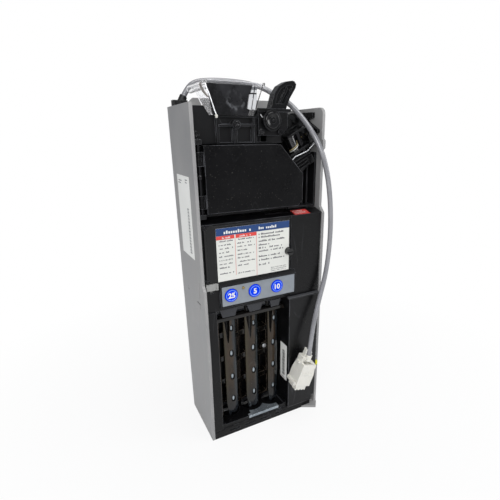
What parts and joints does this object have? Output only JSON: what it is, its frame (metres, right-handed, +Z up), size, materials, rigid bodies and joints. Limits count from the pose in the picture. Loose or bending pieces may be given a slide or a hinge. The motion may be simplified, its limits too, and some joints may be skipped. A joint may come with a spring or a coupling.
{
  "type": "coin changer dispenser",
  "caption": "Upright coin changer with a coin hopper, return lever, hinged covers, payout keys, removable coin tube cassette, payout slides and a hanging mains plug.",
  "frame": {"origin": "centre of the tray's underside, halfway between its side walls and between its front edge and its back face", "axes": "+X to the right seen from the front, +Y towards the back wall, +Z up"},
  "size_m": [0.1468, 0.0951, 0.3775],
  "materials": {
    "tray_grey": "fine-grained light grey moulding with a soft sheen",
    "black_moulding": "satin black moulding",
    "gloss_black": "glossy black moulding",
    "tube_bronze": "smoky dark bronze, coin-rubbed and glossy",
    "clear_funnel": "clear, lightly frosted plastic with bright edges",
    "grey_strip": "smooth blue-grey overlay",
    "key_blue": "bright blue caps with plain white numerals",
    "white_label": "satin white paper label",
    "red_label": "satin red sticker",
    "yellow_dot": "satin yellow sticker",
    "tab_grey": "satin mid-grey moulding",
    "bright_steel": "bright zinc-plated steel",
    "plain_steel": "dull galvanised sheet",
    "copper_wire": "enamelled copper winding under clear tape",
    "board_green": "green circuit board",
    "led_green": "small diffused lens",
    "cord_grey": "soft grey jacket",
    "plug_white": "translucent natural nylon",
    "pin_brass": "tinned brass contacts"
  },
  "bodies": {
    "tray": {"housing": "tray_grey", "cord_gland": "black_moulding", "side_label": "white_label", "inspection_dot": "yellow_dot", "acceptor_body": "black_moulding", "hopper_plate": "black_moulding", "hopper_funnel": "clear_funnel", "hopper_clip": "clear_funnel", "return_chute": "black_moulding", "wall_bracket": "black_moulding", "lever_bracket": "black_moulding", "lever_spring": "bright_steel", "hinge_rod": "bright_steel", "solenoid_frame": "black_moulding", "gate_coil": "copper_wire", "plunger_spring": "bright_steel", "coin_sensors": "black_moulding", "acceptor_board": "board_green", "module_screws": "bright_steel", "control_case": "black_moulding", "door_pin": "bright_steel", "button_fascia": "grey_strip", "status_led": "led_green", "button_springs": "bright_steel", "button_board": "board_green", "latch_spring": "bright_steel", "main_board": "board_green", "transformer": "plain_steel", "board_parts": "board_green", "sill_sticker": "red_label", "bay_frame": "black_moulding", "right_panel": "black_moulding", "coin_chutes": "black_moulding", "payout_base": "black_moulding", "payout_plate": "plain_steel", "payout_coils": "copper_wire", "coil_bracket": "plain_steel", "power_cord": "cord_grey", "connector": "plug_white", "connector_pins": "pin_brass"},
    "lever": {"return_lever": "black_moulding"},
    "cover": {"gate_cover": "black_moulding"},
    "gate": {"gate_plunger": "bright_steel", "gate_comb": "black_moulding"},
    "door": {"service_door": "black_moulding", "door_label": "white_label"},
    "knob": {"door_knob": "gloss_black"},
    "quarter_key": {"quarter_button": "key_blue"},
    "nickel_key": {"nickel_button": "key_blue"},
    "dime_key": {"dime_button": "key_blue"},
    "latch": {"cassette_latch": "tab_grey"},
    "cassette": {"tube_cassette": "black_moulding", "quarter_tube": "tube_bronze", "nickel_tube": "tube_bronze", "dime_tube": "tube_bronze", "cassette_screw": "bright_steel"},
    "quarter_payout": {"quarter_slide": "plain_steel"},
    "nickel_payout": {"nickel_slide": "plain_steel"},
    "dime_payout": {"dime_slide": "plain_steel"}
  },
  "joints": [
    {"name": "lever_press", "type": "hinge", "parent": "tray", "child": "lever", "pos_m": [0.0095, -0.027, 0.337], "axis": [0, 1, 0], "range_deg": [0, 24], "stiffness_Nm_per_rad": 0.02, "springref_deg": -17.19},
    {"name": "cover_swing", "type": "hinge", "parent": "tray", "child": "cover", "pos_m": [-0.0638, -0.033, 0.287], "axis": [0, 0, -1], "range_deg": [0, 95]},
    {"name": "gate_pull", "type": "slide", "parent": "tray", "child": "gate", "axis": [0.4648, 0, -0.8854], "range_m": [0, 0.004], "stiffness_N_per_m": 60, "springref_m": -0.004, "deforming": ["plunger_spring"]},
    {"name": "door_swing", "type": "hinge", "parent": "tray", "child": "door", "pos_m": [-0.0636, -0.0347, 0.218], "axis": [0, 0, -1], "range_deg": [0, 100]},
    {"name": "knob_turn", "type": "hinge", "parent": "door", "child": "knob", "pos_m": [0.0252, -0.038, 0.211], "axis": [0, 1, 0], "range_deg": [0, 90]},
    {"name": "latch_press", "type": "slide", "parent": "tray", "child": "latch", "axis": [0, 0, -1], "range_m": [0, 0.005], "stiffness_N_per_m": 40, "springref_m": -0.004, "deforming": ["latch_spring"]},
    {"name": "cassette_pull", "type": "slide", "parent": "tray", "child": "cassette", "axis": [0, -1, 0], "range_m": [0, 0.012]},
    {"name": "quarter_press", "type": "slide", "parent": "tray", "child": "quarter_key", "axis": [0, 1, 0], "range_m": [0, 0.0012], "stiffness_N_per_m": 150, "springref_m": -0.002, "deforming": ["button_springs"]},
    {"name": "nickel_press", "type": "slide", "parent": "tray", "child": "nickel_key", "axis": [0, 1, 0], "range_m": [0, 0.0012], "stiffness_N_per_m": 150, "springref_m": -0.002, "deforming": ["button_springs"]},
    {"name": "dime_press", "type": "slide", "parent": "tray", "child": "dime_key", "axis": [0, 1, 0], "range_m": [0, 0.0012], "stiffness_N_per_m": 150, "springref_m": -0.002, "deforming": ["button_springs"]},
    {"name": "quarter_payout_stroke", "type": "slide", "parent": "tray", "child": "quarter_payout", "axis": [0, 1, 0], "range_m": [0, 0.0144], "stiffness_N_per_m": 30, "springref_m": -0.004},
    {"name": "nickel_payout_stroke", "type": "slide", "parent": "tray", "child": "nickel_payout", "axis": [0, 1, 0], "range_m": [0, 0.0144], "stiffness_N_per_m": 30, "springref_m": -0.004},
    {"name": "dime_payout_stroke", "type": "slide", "parent": "tray", "child": "dime_payout", "axis": [0, 1, 0], "range_m": [0, 0.0144], "stiffness_N_per_m": 30, "springref_m": -0.004}
  ]
}
